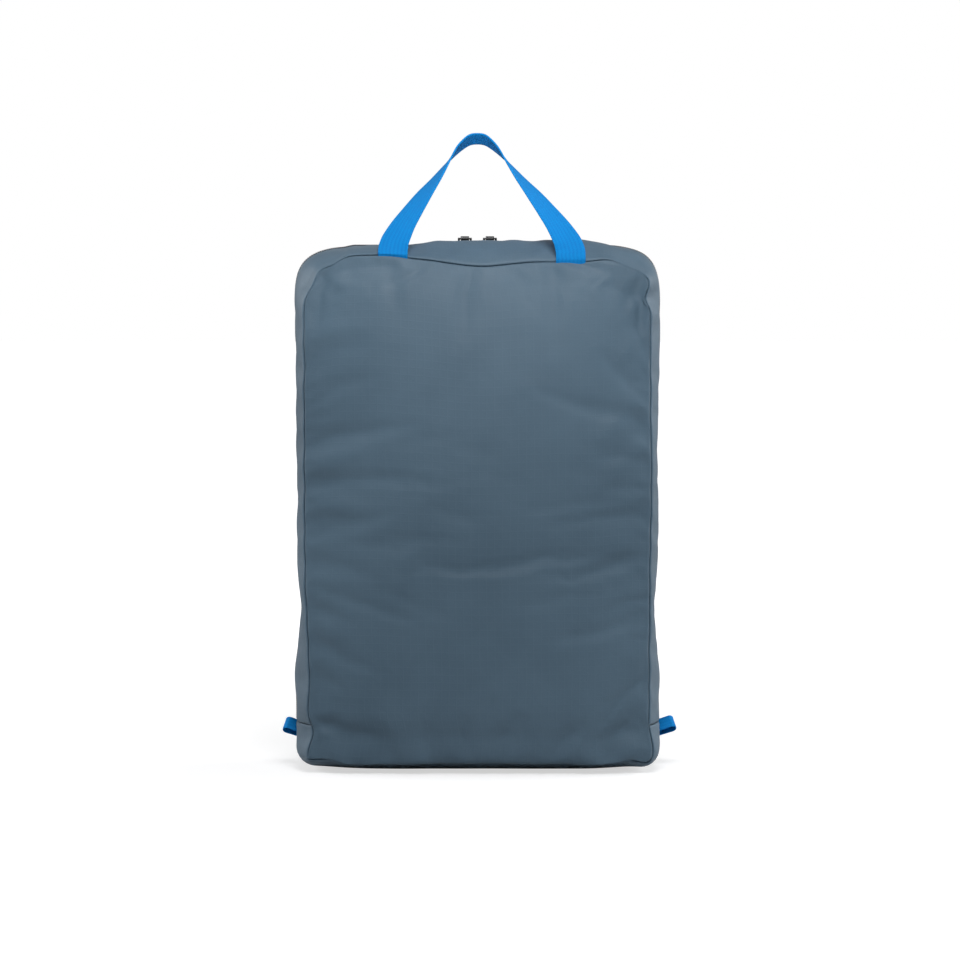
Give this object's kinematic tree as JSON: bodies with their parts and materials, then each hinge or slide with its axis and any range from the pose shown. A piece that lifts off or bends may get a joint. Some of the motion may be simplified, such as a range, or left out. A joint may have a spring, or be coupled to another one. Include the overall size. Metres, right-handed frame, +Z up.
{
  "type": "packing cube",
  "caption": "Upright stuffed packing cube in thin ripstop cloth, with a zip over the top and sides, a webbing carry handle and tape loops at the zip ends.",
  "frame": {"origin": "middle of the base, on the surface the bag stands on", "axes": "+Z up, the front panel faces -Y, +X to the right seen from the front"},
  "size_m": [0.2694, 0.108, 0.4307],
  "materials": {
    "ripstop": "thin coated ripstop nylon, slate blue, soft sheen",
    "seam_binding": "narrow plain-woven binding tape over the inner seams",
    "zip_tape": "woven polyester zip tape, black",
    "zip_coil": "moulded nylon coil, black, satin",
    "webbing": "flat woven webbing and tape, bright blue",
    "slider_metal": "die-cast zinc, black enamel, semi-gloss"
  },
  "bodies": {
    "back_shell": {"back_panel": "ripstop", "back_gusset": "ripstop", "base_gusset": "ripstop", "front_panel_foot": "ripstop", "back_seam_binding": "seam_binding", "foot_seam_binding": "seam_binding", "zip_tape_back": "zip_tape", "zip_coil_back": "zip_coil", "loop_left": "webbing", "loop_right": "webbing"},
    "front_flap": {"front_panel": "ripstop", "front_gusset": "ripstop", "front_seam_binding": "seam_binding", "zip_tape_front": "zip_tape", "zip_coil_front": "zip_coil", "handle_end_left": "webbing", "handle_end_right": "webbing"},
    "carry_handle": {"handle_webbing": "webbing"},
    "zip_slider_left": {"slider_left": "slider_metal"},
    "zip_slider_right": {"slider_right": "slider_metal"},
    "zip_pull_left": {"pull_left": "slider_metal"},
    "zip_pull_right": {"pull_right": "slider_metal"}
  },
  "joints": [
    {"name": "flap_open", "type": "hinge", "parent": "back_shell", "child": "front_flap", "pos_m": [0, -0.0478, 0.03315], "axis": [1, 0, 0], "range_deg": [0, 95]},
    {"name": "handle_swing", "type": "hinge", "parent": "front_flap", "child": "carry_handle", "pos_m": [0, -0.0409, 0.3529], "axis": [1, 0, 0], "range_deg": [-35, 150]},
    {"name": "slider_left_run", "type": "slide", "parent": "back_shell", "child": "zip_slider_left", "axis": [-1, 0, 0], "range_m": [0, 0.068]},
    {"name": "slider_right_run", "type": "slide", "parent": "back_shell", "child": "zip_slider_right", "axis": [1, 0, 0], "range_m": [0, 0.068]},
    {"name": "pull_left_swing", "type": "hinge", "parent": "zip_slider_left", "child": "zip_pull_left", "pos_m": [-0.0086, 0, 0.36385], "axis": [1, 0, 0], "range_deg": [0, 192]},
    {"name": "pull_right_swing", "type": "hinge", "parent": "zip_slider_right", "child": "zip_pull_right", "pos_m": [0.0086, 0, 0.36385], "axis": [1, 0, 0], "range_deg": [0, 192]}
  ]
}
